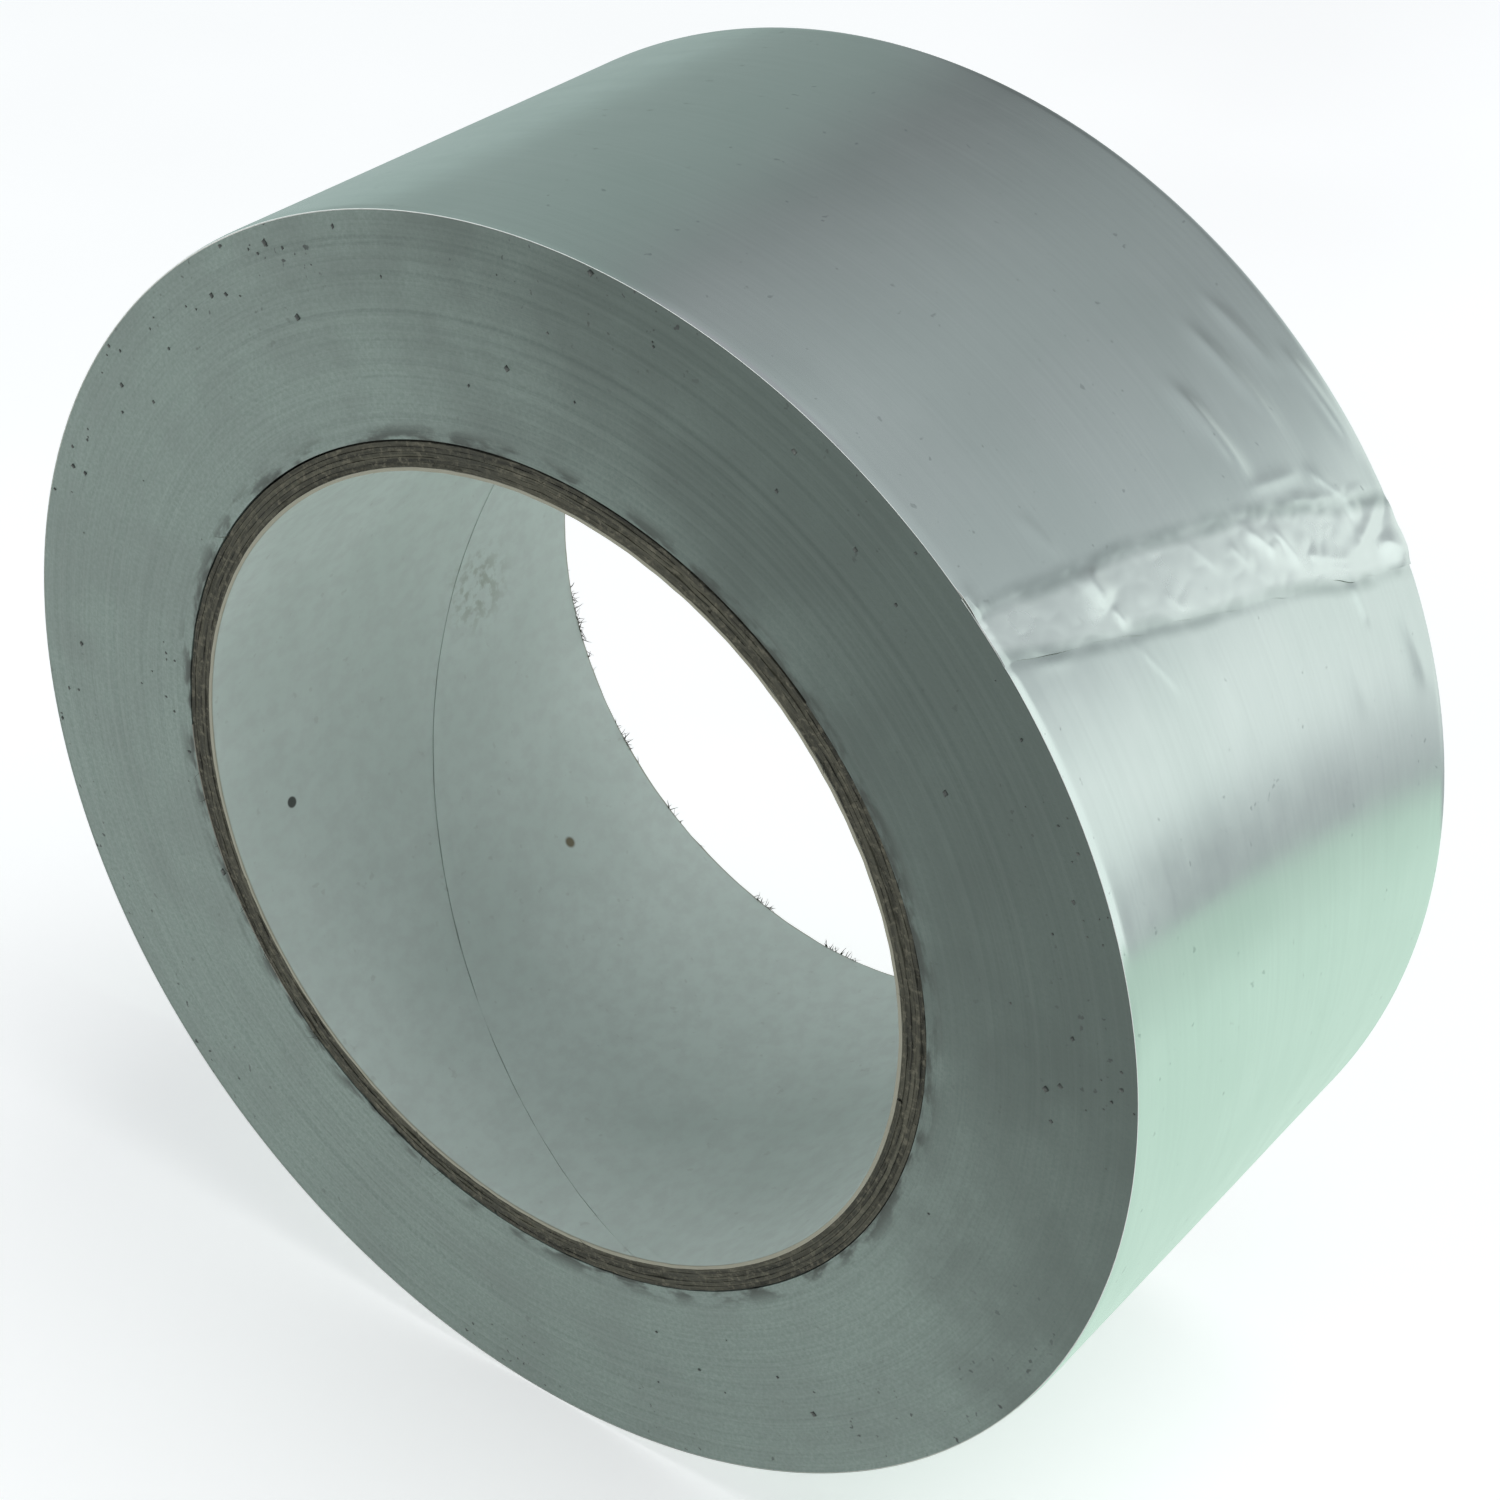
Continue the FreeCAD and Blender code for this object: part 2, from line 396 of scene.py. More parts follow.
def lining_material():
    """Smooth white paper with a faint grain, a grey smudge, two specks and brownish cut ends."""
    n = Nodes("white_lining_paper")
    grain = n.noise(n.stretched(700, 500), detail=4, roughness=0.6)
    tone = n.noise(n.position, scale=45, detail=4)
    fleck = n.ramp(n.noise(n.position, scale=700, detail=2), 0.68, 0.75)
    colour = n.mix(n.ramp(tone, 0.35, 0.65), (0.485, 0.564, 0.52, 1), (0.535, 0.615, 0.571, 1))
    colour = n.mix(n.ramp(grain, 0.35, 0.7, 0.0, 0.35), colour, (0.43, 0.46, 0.44, 1))
    colour = n.mix(n.math("MULTIPLY", fleck, 0.3), colour, (0.33, 0.35, 0.32, 1))
    smudge = n.spot(polar(181, BORE_RADIUS, 11.5), 0.0065, 0.9)
    smudge = n.math("MULTIPLY", smudge, n.ramp(n.noise(n.position, scale=900, detail=3), 0.45, 0.62))
    colour = n.mix(n.math("MULTIPLY", smudge, 0.7), colour, (0.30, 0.33, 0.27, 1))
    colour = n.mix(n.spot(polar(195.8, BORE_RADIUS, -17.6), 0.00065, 0.3), colour, (0.05, 0.055, 0.05, 1))
    colour = n.mix(n.spot(polar(225, BORE_RADIUS, 11.7), 0.00075, 0.5), colour, (0.14, 0.12, 0.07, 1))
    cut_end = n.ramp(n.math("ABSOLUTE", n.y), (HALF_WIDTH - 0.25) * MM, (HALF_WIDTH - 0.05) * MM)
    colour = n.mix(n.math("MULTIPLY", cut_end, 0.85), colour, (0.25, 0.235, 0.16, 1))
    normal = n.bump(grain, 0.00005, 0.25)
    normal = n.bump(tone, 0.0006, 0.25, normal)
    return n.finish(colour, n.ramp(grain, 0.3, 0.7, 0.5, 0.62), normal)


def paper_material():
    """The release paper: smooth, white and a little shiny."""
    n = Nodes("release_paper")
    fibre = n.noise(n.position, scale=900, detail=4)
    colour = n.mix(n.ramp(fibre, 0.35, 0.7), (0.74, 0.74, 0.69, 1), (0.84, 0.84, 0.80, 1))
    return n.finish(colour, n.ramp(fibre, 0.3, 0.7, 0.35, 0.5), n.bump(fibre, 0.00003, 0.4))


def adhesive_material():
    """Clear adhesive on the foil's back: it reads as foil with a soft, tacky film."""
    n = Nodes("adhesive_film")
    flow = n.noise(n.position, scale=700, detail=3)
    colour = n.mix(n.ramp(flow, 0.35, 0.7), (0.60, 0.60, 0.52, 1), (0.70, 0.70, 0.62, 1))
    normal = n.bump(flow, 0.00004, 0.4)
    return n.finish(colour, n.ramp(flow, 0.3, 0.7, 0.18, 0.34), normal, Metallic=0.75, Coat_Weight=0.6)


def tie_material():
    """Cloudy double-sided tape, sealed under the first turn."""
    n = Nodes("tie_tape")
    cloud = n.noise(n.position, scale=500, detail=3)
    colour = n.mix(n.ramp(cloud, 0.35, 0.7), (0.13, 0.125, 0.095, 1), (0.19, 0.185, 0.145, 1))
    return n.finish(colour, n.ramp(cloud, 0.3, 0.7, 0.4, 0.55), n.bump(cloud, 0.00003, 0.3))


def speck_material():
    """Dark crumbs of adhesive and dust."""
    n = Nodes("dark_crumbs")
    tone = n.noise(n.position, scale=2000, detail=3)
    colour = n.mix(n.ramp(tone, 0.35, 0.7), (0.045, 0.054, 0.048, 1), (0.12, 0.135, 0.12, 1))
    return n.finish(colour, n.ramp(tone, 0.3, 0.7, 0.45, 0.7), n.bump(tone, 0.00005, 0.5))


# ---------------------------------------------------------------- the foil

# The rims of the foil turn down over this width, by this much
RIM_WIDTH = 0.9
RIM_DROP = 0.10

# Rows of points across the foil, and across the layers under it
FOIL_ROW_STEP = 0.42
HIDDEN_ROW_STEP = 0.9
END_ROW_STEP = 0.26

# The soft grooves along the slanted lines: half width and depth
CUT_PRINT = (0.5, 0.045)
CUT_GROOVE = (0.45, 0.035)
STRIPPED_GROOVE = (0.5, 0.030)

CUT_RAGGEDNESS = 0.10
BAND_CRUMPLE = 0.05

# Creases near the free end: from one point to another (angle, y), then half width and height
CREASES = [
    ((42.6, -13.0), (39.6, -12.4), 1.35, 0.32),
    ((39.4, -12.2), (37.6, -11.6), 0.55, 0.12),
    ((36.8, -11.8), (30.4, -8.6), 0.60, 0.09),
    ((48.5, -15.6), (44.6, -14.4), 0.60, 0.07),
    ((44.4, -24.8), (46.8, -25.4), 0.80, 0.14),
    ((40.2, -22.4), (38.4, -19.0), 0.80, 0.10),
    ((49.8, 8.2), (40.6, 9.8), 0.95, 0.22),
    ((38.2, 6.2), (34.4, 9.0), 0.75, 0.20),
    ((36.6, 9.4), (32.6, 11.2), 0.70, 0.20),
    ((37.8, 3.6), (35.4, 5.0), 0.60, 0.10),
    ((40.2, 9.0), (38.8, 15.8), 0.70, 0.12),
    ((33.2, 12.0), (30.6, 17.6), 0.75, 0.22),
    ((30.8, 18.0), (33.2, 24.0), 0.75, 0.20),
    ((38.8, 17.0), (33.8, 21.0), 0.80, 0.20),
    ((37.6, 12.8), (35.4, 18.8), 0.65, 0.12),
    ((30.4, 22.6), (27.8, 25.6), 1.60, 0.42),
    ((53.0, 14.6), (42.4, 16.6), 0.85, 0.14),
    ((47.5, 22.6), (37.0, 24.2), 0.95, 0.24),
    ((54.0, 19.0), (45.6, 20.6), 0.75, 0.10),
    ((29.8, 16.4), (25.2, 17.2), 0.85, 0.18),
    ((26.4, 21.6), (17.6, 23.4), 0.95, 0.14),
    ((27.8, 12.6), (19.5, 13.4), 0.90, 0.06),
    ((32.6, -4.0), (24.5, -2.6), 0.90, 0.05),
    ((40.0, -1.0), (36.6, 1.2), 0.60, 0.08),
    ((37.8, -6.2), (35.6, -4.4), 0.60, 0.06),
]

long_swell = random_waves(11, 46, 30)
short_swell = random_waves(12, 17, 12)
hoop_ridges = random_waves(13, 26, 4.2)
crumple = random_waves(14, 4.6, 3.4)
cut_wander = random_waves(15, 5.0, 5.0)


def slanted(line, y):
    """The angle of a slanted line across the tape at y."""
    front, back, bow = line
    share = (y + HALF_WIDTH) / (2 * HALF_WIDTH)
    return front + (back - front) * share + bow * 4 * share * (1 - share)


def swell(angle, y):
    """How far the wound foil stands proud of the true spiral: never less than nothing."""
    arc = np.radians(angle) * ROLL_RADIUS
    near_end = np.exp(-(((angle - 35) / 10) ** 2)) * (0.2 + 0.8 * smoothstep(-16, 18, y))
    height = 0.045 + 0.009 * long_swell(arc, y) + 0.0010 * short_swell(arc, y)
    height = height + 0.018 * near_end * hoop_ridges(arc, y)
    return np.maximum(height, 0.0)


def creases(angle, y):
    """The height of the creases near the free end."""
    arc = np.radians(angle) * ROLL_RADIUS
    height = np.zeros(np.broadcast(angle, y).shape)
    for (angle_a, y_a), (angle_b, y_b), half_width, peak in CREASES:
        a = np.array([math.radians(angle_a) * ROLL_RADIUS, y_a])
        b = np.array([math.radians(angle_b) * ROLL_RADIUS, y_b])
        middle, reach = (a + b) / 2, np.linalg.norm(b - a) / 2
        along = (b - a) / (2 * reach)
        du, dv = arc - middle[0], y - middle[1]
        t = (du * along[0] + dv * along[1]) / reach
        across = (dv * along[0] - du * along[1]) / half_width
        profile, fade_at_ends = np.exp(-np.abs(across) ** 1.6), np.exp(-1.5 * t**4)
        height = height + peak * profile * fade_at_ends
    return height


def band_crumple(angle, y):
    """The fine crumpling of the foil that is pressed down past the release paper's end."""
    arc = np.radians(angle) * ROLL_RADIUS
    inside = smoothstep(-0.6, 0.4, angle - slanted(CUT_LINE, y))
    inside = inside * smoothstep(-0.8, 0.8, slanted(STRIPPED_LINE, y) + 0.8 - angle)
    strength = 0.25 + 0.75 * smoothstep(0, 18, y)
    return BAND_CRUMPLE * inside * strength * np.abs(crumple(arc, y))


def groove(angle, line, y, half_width, depth):
    """A soft groove along a slanted line."""
    off = np.radians(angle - slanted(line, y)) * ROLL_RADIUS
    return depth * np.exp(-((off / half_width) ** 2))


def rim_drop(y):
    """How far the slit edges of the foil turn down at the two rims."""
    past = np.clip((np.abs(y) - (HALF_WIDTH - RIM_WIDTH)) / RIM_WIDTH, 0, 1)
    return RIM_DROP * past**2


def turn_angles():
    """Angles once round the last turn from the hinge line, closer together near the free end."""
    fine, coarse = 0.3, 1.25
    start, end = HINGE_ANGLE, HINGE_ANGLE + 360
    fine_until, fine_from = start + 9, end - 30
    return np.concatenate([
        np.arange(start, fine_until, fine),
        np.arange(fine_until, fine_from, coarse),
        np.arange(fine_from, end, fine),
        [end],
    ])


def width_rows(inset, step):
    """Places across the tape's width, closer together at the rims."""
    half = HALF_WIDTH - inset
    rims = [0.0, 0.15, 0.3, 0.5, 0.7]
    first = 0.95
    middle = np.linspace(-half + first, half - first, int(2 * half / step))
    return np.array([*(r - half for r in rims), *middle, *(half - r for r in reversed(rims))])


def turn_layer(name, depth, thickness, inset, material):
    """One layer of the last turn, depth under the foil's outside."""
    step = FOIL_ROW_STEP if depth == 0 else HIDDEN_ROW_STEP
    angle, y = np.meshgrid(turn_angles(), width_rows(inset, step))
    spiral = ROLL_RADIUS - TURN * (angle - HINGE_ANGLE) / 360
    wrapped = np.where(angle > 180, angle - 360, angle)
    covered = (angle > HINGE_ANGLE + 180) * smoothstep(-0.8, 0.4, wrapped - slanted(CUT_LINE, y))
    lift = swell(wrapped, y) + creases(wrapped, y) * (1 - covered) * (depth == 0)
    lift = lift - groove(wrapped, CUT_LINE, y, *CUT_PRINT) * (angle > HINGE_ANGLE + 180)
    outside = spiral + lift - rim_drop(y) - depth
    return sheet_solid(name, polar(angle, outside, y), polar(angle, outside - thickness, y), material)


def end_layer(name, end_line, depth, thickness, inset, columns, material):
    """One layer of the free end, from the hinge line to its slanted end."""
    y = width_rows(inset, END_ROW_STEP)[:, None]
    tip = slanted(end_line, y) + CUT_RAGGEDNESS * cut_wander(0.0, y)
    angle = HINGE_ANGLE + (tip - HINGE_ANGLE) * np.linspace(0, 1, columns)[None, :]
    pressed = 1 - smoothstep(-1.1, 0.5, angle - slanted(STRIPPED_LINE, y))
    lift = swell(angle, y) + creases(angle, y) + band_crumple(angle, y) * (depth <= FOIL)
    lift = lift - groove(angle, STRIPPED_LINE, y, *STRIPPED_GROOVE) - groove(angle, CUT_LINE, y, *CUT_GROOVE)
    spiral = ROLL_RADIUS + TURN * (HINGE_ANGLE - angle) / 360
    sinks = (PAPER - 0.012) * (depth <= FOIL)
    outside = spiral + lift - rim_drop(y) - depth - pressed * sinks
    outer, inner = polar(angle, outside, y), polar(angle, outside - thickness, y)
    return sheet_solid(name, outer, inner, material, body=None)


def hang_on_hinge(piece):
    """Bakes the placement of a piece of the free end into its points."""
    root = Vector(HINGE["pos_m"])
    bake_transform(piece)


def make_last_turn(foil, adhesive, paper):
    """The last turn's three layers: piece, node, slot, depth, thickness, inset and material."""
    layers = [
        ("foil_last_turn", "last_turn_foil", "foil", 0.0, FOIL, 0.0, foil),
        ("adhesive_last_turn", "last_turn_adhesive", "adhesive", FOIL, ADHESIVE, ADHESIVE_INSET, adhesive),
        ("paper_last_turn", "last_turn_release_liner", "release_paper",
         FOIL + ADHESIVE, PAPER, PAPER_INSET, paper),
    ]
    for name, node, slot, depth, thickness, inset, material in layers:
        piece = turn_layer(name, depth, thickness, inset, material)
        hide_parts(node)


def make_tape_end(foil, adhesive, paper):
    """The free end's three layers, each with the line it ends at and how many columns of points it has."""
    layers = [
        ("foil_tape_end", "tape_end_foil", "foil", CUT_LINE, 0.0, FOIL, 0.0, 84, foil),
        ("adhesive_tape_end", "tape_end_adhesive", "adhesive", CUT_LINE,
         FOIL, ADHESIVE, ADHESIVE_INSET, 84, adhesive),
        ("paper_tape_end", "tape_end_release_liner", "release_paper", STRIPPED_LINE,
         FOIL + ADHESIVE, PAPER - 0.02, PAPER_INSET, 40, paper),
    ]
    for name, node, slot, ends, depth, thickness, inset, columns, material in layers:
        piece = end_layer(name, ends, depth, thickness, inset, columns, material)
        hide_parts(node)
        hang_on_hinge(piece)


# ---------------------------------------------------------------- the wound tape


def make_wound_tape(material):
    """All the turns under the last one: each row of points on a side face is one turn of the spiral."""
    columns = 240
    clearance, set_back = 0.02, 0.03
    start_radius = ROLL_RADIUS - TURN - clearance
    turns = int((start_radius - CORE_RADIUS) / TURN)
    steps = np.arange(turns * columns + 1)
    wound = steps / columns
    angle = HINGE_ANGLE + 360 * wound
    radius = start_radius - TURN * wound
    telescoped = random_waves(21, 0.9, 1.0, count=60)
    broad = random_waves(22, 9.0, 1.0, count=20)
    edges = []
    for side in (-1, 1):
        height = 0.010 * telescoped(wound, 3.0 * side) + 0.018 * broad(wound, 5.0 * side)
        edges.append(polar(angle, radius, side * (HALF_WIDTH - set_back + height)))
    count = len(steps)
    first = np.arange(count - columns - 1)
    quads = np.stack([first, first + 1, first + columns + 1, first + columns], axis=1)
    faces = quads.tolist() + (quads[:, ::-1] + count).tolist()
    rim = list(range(columns + 1))
    hub = list(range(count - columns - 1, count))
    faces += [q[::-1] for q in wall_faces(rim, [i + count for i in rim])]
    faces += wall_faces(hub, [i + count for i in hub])
    piece = mesh_piece("wound_tape", np.concatenate(edges), faces, material)
    piece.data.set_sharp_from_angle(angle=math.radians(50))
    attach(piece, "roll")
    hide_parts("wound_turns")


# ---------------------------------------------------------------- the core


def seam_angle(angle_at_back, y):
    """Where a ply's helical seam runs, from the angle at which it meets the back side face."""
    return angle_at_back + (HALF_WIDTH - y) * 360 / SEAM_LEAD


def core_ply(name, inner, outer, seam_at_back, gap, y_rows, columns, ragged, inner_lift, material, fray=0.0):
    """One ply: a strip from its own seam round to the seam again, with uneven cut ends."""
    share = np.linspace(0, 1, columns)[None, :]
    flat_y = np.asarray(y_rows)[:, None]
    leading, trailing = random_waves(57, 1.7, 1.0), random_waves(58, 2.3, 1.0)
    before = degrees_of(np.maximum(gap / 2 + fray * leading(flat_y, 0.0), 0.006), inner)
    after = degrees_of(np.maximum(gap / 2 + fray * trailing(flat_y, 0.0), 0.006), inner)
    angle = seam_angle(seam_at_back, flat_y) + before + share * (360 - before - after)
    end_ness = smoothstep(HALF_WIDTH - 0.6, HALF_WIDTH, np.abs(flat_y))
    y = flat_y + np.sign(flat_y) * end_ness * ragged(angle, np.sign(flat_y))
    rounding = 0.014 * smoothstep(HALF_WIDTH - 0.2, HALF_WIDTH, np.abs(flat_y))
    inside = inner + inner_lift(angle, flat_y, share) + rounding
    return sheet_solid(name, polar(angle, outer - rounding, y), polar(angle, inside, y), material)


def ragged_ends(seed, amount):
    """How far a ply's cut end passes its side face, all round it; mostly it falls a little short."""
    coarse, fine = random_waves(seed, 40, 1.0), random_waves(seed + 1, 4.5, 1.0)

    def reach(angle, side):
        return amount * (0.45 * coarse(angle, 3.0 * side) + 0.55 * fine(angle, 7.0 * side)) - amount

    return reach


def ply_rows(ends, middle, count):
    """Places across a ply's width: close together at its two cut ends, and even in between."""
    ends = np.array(ends)
    return [*(ends - HALF_WIDTH), *np.linspace(-middle, middle, count), *(HALF_WIDTH - ends[::-1])]


def make_board(materials):
    """The brown plies, each with its seam a step further round than the ply inside it."""
    clearance = 0.005
    rows = ply_rows([0.0, 0.08, 0.2, 0.6], 23.6, 30)
    for number in range(1, BOARD_PLIES + 1):
        inner = BORE_RADIUS + LINING + (number - 1) * BOARD
        seam = LINING_SEAM_ANGLE + number * SEAM_STEP
        piece = core_ply(
            f"board_ply_{number}", inner + clearance, inner + BOARD - clearance, seam, BOARD_SEAM_GAP,
            rows, 300, ragged_ends(30 + 2 * number, 0.075), lambda angle, y, share: 0.0,
            materials[number - 1],
        )
        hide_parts(f"core_board_ply_{number}")


def make_lining(material):
    """The white lining: its seam's lips stand a little off the board, and the paper is faintly buckled."""
    swell_of_paper = random_waves(51, 26, 17)
    fine_buckle = random_waves(52, 9, 40)
    lip_waves = random_waves(54, 11, 11)

    def lift(angle, y, share):
        from_seam = share * 2 * math.pi * BORE_RADIUS
        to_seam = (1 - share) * 2 * math.pi * BORE_RADIUS
        lips = 0.07 * np.exp(-from_seam / 1.6) + 0.03 * np.exp(-to_seam / 0.8)
        uneven = 0.5 + 0.5 * lip_waves(np.radians(angle) * BORE_RADIUS, y)
        ridge = 0.06 * np.exp(-(((from_seam - 3.6) / 0.6) ** 2))
        ridge = ridge + 0.035 * np.exp(-(((to_seam - 2.2) / 0.6) ** 2))
        ridge = ridge * np.clip(uneven, 0, 1.5)
        arc = np.radians(angle) * BORE_RADIUS
        buckle = 0.020 * swell_of_paper(arc, y) + 0.007 * fine_buckle(arc, y)
        return -(lips + ridge) - np.maximum(buckle + 0.02, 0)

    piece = core_ply(
        "white_lining", BORE_RADIUS + 0.06, BORE_RADIUS + LINING - 0.012, LINING_SEAM_ANGLE, LINING_SEAM_GAP,
        ply_rows([0.0, 0.1, 0.25, 0.6], 24.2, 110), 420, ragged_ends(50, 0.03), lift, material, fray=0.045,
    )
    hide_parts("core_white_lining")


def hair(rng, start, heading, length, thickness):
    """A tapered three-sided fibre that bends a little: its points and faces."""
    rings, sides = 4, 3
    bend = rng.normal(0, 0.5, 3)
    points, place = [], np.array(start, float)
    heading = np.array(heading, float) / np.linalg.norm(heading)
    for ring in range(rings):
        across = np.cross(heading, (0.31, 0.77, 0.55))
        across /= np.linalg.norm(across)
        other = np.cross(heading, across)
        size = thickness * (1 - 0.75 * ring / (rings - 1)) / 2
        for side in range(sides):
            a = 2 * math.pi * side / sides
            points.append(place + size * (math.cos(a) * across + math.sin(a) * other))
        place = place + heading * length / (rings - 1)
        heading = heading + bend / rings
        heading /= np.linalg.norm(heading)
    faces = [[2, 1, 0], [3 * rings - 3, 3 * rings - 2, 3 * rings - 1]]
    for ring in range(rings - 1):
        for side in range(sides):
            a, b = ring * sides + side, ring * sides + (side + 1) % sides
            faces.append([a, b, b + sides, a + sides])
    return np.array(points), faces


# Where the board is frayed most, at the front and back side faces: the angle, how wide, and how many fibres
FRAYED = {
    -1: [(212, 24, 60), (40, 30, 24)],
    1: [(197, 8, 34), (192, 3, 10), (217, 4, 14), (233, 6, 8), (252, 5, 18), (266, 4, 18)],
}
FIBRES_ALL_ROUND = 110


def make_fibres(material):
    """Frayed fibres on the board's cut ends, with tufts in a few places; those at the back lean inwards."""
    rng = np.random.default_rng(61)
    places = []
    for side, spots in FRAYED.items():
        places += [(side, rng.uniform(0, 360), 0.0) for _ in range(FIBRES_ALL_ROUND)]
        for middle, spread, count in spots:
            places += [(side, rng.normal(middle, spread / 2), 0.7 * (side > 0)) for _ in range(count)]
    points, faces = [], []
    for side, angle, inward in places:
        radius = rng.choice([CORE_RADIUS - 0.1, rng.uniform(BORE_RADIUS + 0.5, CORE_RADIUS)], p=[0.5, 0.5])
        radius = radius if inward == 0 else BORE_RADIUS + rng.uniform(0.0, 0.3)
        a = math.radians(angle)
        out, along = np.array([math.cos(a), 0, math.sin(a)]), np.array([-math.sin(a), 0, math.cos(a)])
        start = np.array([radius * out[0], side * (HALF_WIDTH - 0.12), radius * out[2]])
        heading = (0.25 * rng.normal() - inward) * out + rng.normal() * along
        heading = heading + side * rng.uniform(0.1, 0.35) * np.array([0, 1, 0])
        new, quads = hair(rng, start, heading, rng.uniform(0.4, 1.3), rng.uniform(0.04, 0.10) * (1 + inward))
        faces += [[i + len(new) * len(points) for i in q] for q in quads]
        points.append(new)
    piece = mesh_piece("board_fibres", np.concatenate(points) * MM, faces, material)
    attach(piece, "roll")


# ---------------------------------------------------------------- crumbs


def crumb(rng, centre, size, flat_along):
    """A small uneven lump: an octahedron, pushed about and flattened."""
    corners = np.array([(1, 0, 0), (-1, 0, 0), (0, 1, 0), (0, -1, 0), (0, 0, 1), (0, 0, -1)], float)
    corners = corners * rng.uniform(0.55, 1.1, (6, 1)) * size / 2
    corners = corners - np.outer(corners @ flat_along, flat_along) * 0.6
    faces = [(0, 2, 4), (2, 1, 4), (1, 3, 4), (3, 0, 4), (2, 0, 5), (1, 2, 5), (3, 1, 5), (0, 3, 5)]
    return corners + centre, faces


# Groups of crumbs: the side face, an angle and its spread, a radius and its spread, and how many
CRUMB_GROUPS = [
    (-1, 18, 14, 57.6, 1.5, 26),
    (-1, 145, 34, 57.2, 2.0, 44),
    (-1, 60, 60, 53, 4.0, 18),
    (-1, 175, 10, 43.0, 1.0, 10),
    (-1, 320, 40, 50, 5.0, 12),
    (1, 80, 60, 57.0, 2.0, 30),
    (1, 250, 60, 55.0, 3.0, 24),
]


def make_crumbs(material):
    """Dark crumbs stuck to the side faces, most of them near the rim, and a few by the core."""
    rng = np.random.default_rng(71)
    points, faces = [], []
    for side, angle, spread, radius, radial_spread, count in CRUMB_GROUPS:
        for _ in range(count):
            a = math.radians(rng.normal(angle, spread))
            r = min(rng.normal(radius, radial_spread), ROLL_RADIUS - 0.6)
            centre = np.array([r * math.cos(a), side * (HALF_WIDTH - 0.01), r * math.sin(a)])
            new, triangles = crumb(rng, centre, rng.gamma(3.0, 0.10) + 0.12, np.array([0.0, 1.0, 0.0]))
            faces += [[i + len(new) * len(points) for i in t] for t in triangles]
            points.append(new)
    piece = mesh_piece("edge_crumbs", np.concatenate(points) * MM, faces, material)
    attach(piece, "roll")


# ---------------------------------------------------------------- the studio


# The camera looks down by its tilt and is turned from +Y towards -X
CAMERA_PLACE = (0.1414, -0.1867, 0.1521)
CAMERA_TILT = 33.96
CAMERA_TURN = 37.6


def make_camera():
    """The camera; its shift frames the roll."""
    data = bpy.data.cameras.new("camera")
    data.sensor_width = 36.0
    data.lens = 73.6
    data.shift_x, data.shift_y = 0.0403, 0.0401
    data.clip_start, data.clip_end = 0.01, 20.0
    camera = bpy.data.objects.new("camera", data)
    camera.location = CAMERA_PLACE
    camera.rotation_euler = (math.radians(90 - CAMERA_TILT), 0.0, math.radians(CAMERA_TURN))
    bpy.context.scene.collection.objects.link(camera)
    bpy.context.scene.camera = camera


def make_floor():
    """A pale floor at the foot of the roll, with a glow of its own that keeps it pale."""
    n = Nodes("studio_floor")
    tone = n.noise(n.position, scale=8, detail=2)
    colour = n.mix(n.ramp(tone, 0.3, 0.7), (0.85, 0.855, 0.85, 1), (0.87, 0.875, 0.87, 1))
    n.link(colour, n.shader.inputs["Emission Color"])
    n.shader.inputs["Emission Strength"].default_value = 0.42
    material = n.finish(colour, n.ramp(tone, 0.3, 0.7, 0.55, 0.6), n.bump(tone, 0.0001, 0.1))
    size = 3.0
    corners = np.array([(x * size, y * size, CAD_LOW.z) for x, y in ((-1, -1), (1, -1), (1, 1), (-1, 1))])
    floor = mesh_piece("studio_floor", corners, [[0, 1, 2, 3]], material, smooth=False)


def make_light(name, place, size, power, colour):
    """A soft rectangular light turned to face the roll, which neither the camera nor reflections see."""
    data = bpy.data.lights.new(name, "AREA")
    data.shape = "RECTANGLE"
    data.size, data.size_y = size
    data.energy = power
    data.color = colour
    light = bpy.data.objects.new(name, data)
    light.location = place
    light.rotation_euler = (Vector((0.0, 0.0, 0.0)) - Vector(place)).to_track_quat("-Z", "Y").to_euler()
    light.visible_camera = False
    light.visible_glossy = False
    bpy.context.scene.collection.objects.link(light)


# The cove is the sheet that the foil mirrors, in metres. Directions to it are taken from a point in the
# right-hand part of the roll
COVE_INNER, COVE_RADIUS, COVE_HEIGHT = 0.028, 1.0, 1.7
COVE_OFF_FLOOR = 0.4 * MM
COVE_VIEWPOINT = np.array([0.045, 0.0, 0.020])

# Its glow: the wall is dimmest at about 115 degrees, by the window's left end, and brighter on either side
WALL_BY_WINDOW, WALL_DIMMEST, WALL_FAR_SIDE = 0.52, 0.29, 0.42
WALL_BELOW_SILL = 0.47
WINDOW = 0.90
FLOOR_FAR, FLOOR_NEAR = 0.70, 0.86

# Its tints
LAVENDER = np.array([0.92, 1.0, 1.02])
PALE = np.array([0.92, 1.0, 0.98])
MINT_WALL = np.array([0.82, 1.0, 0.96])
MINT_FLOOR = np.array([0.77, 1.0, 0.87])


def wall_glow(azimuth, elevation):
    """The wall: it dims towards the left and comes up again on the far side.

    In the dim part it is lighter higher up, and on the far side it is lighter low down.
    """
    glow = WALL_BY_WINDOW + (WALL_DIMMEST - WALL_BY_WINDOW) * smoothstep(40, 115, azimuth)
    glow = glow + (WALL_FAR_SIDE - WALL_DIMMEST) * smoothstep(112, 160, azimuth)
    between = smoothstep(62, 80, azimuth) * smoothstep(125, 110, azimuth)
    glow = glow + 0.012 * (np.clip(elevation, 26, 46) - 38) * between
    return glow + 0.14 * smoothstep(11, 2, elevation) * smoothstep(118, 132, azimuth)


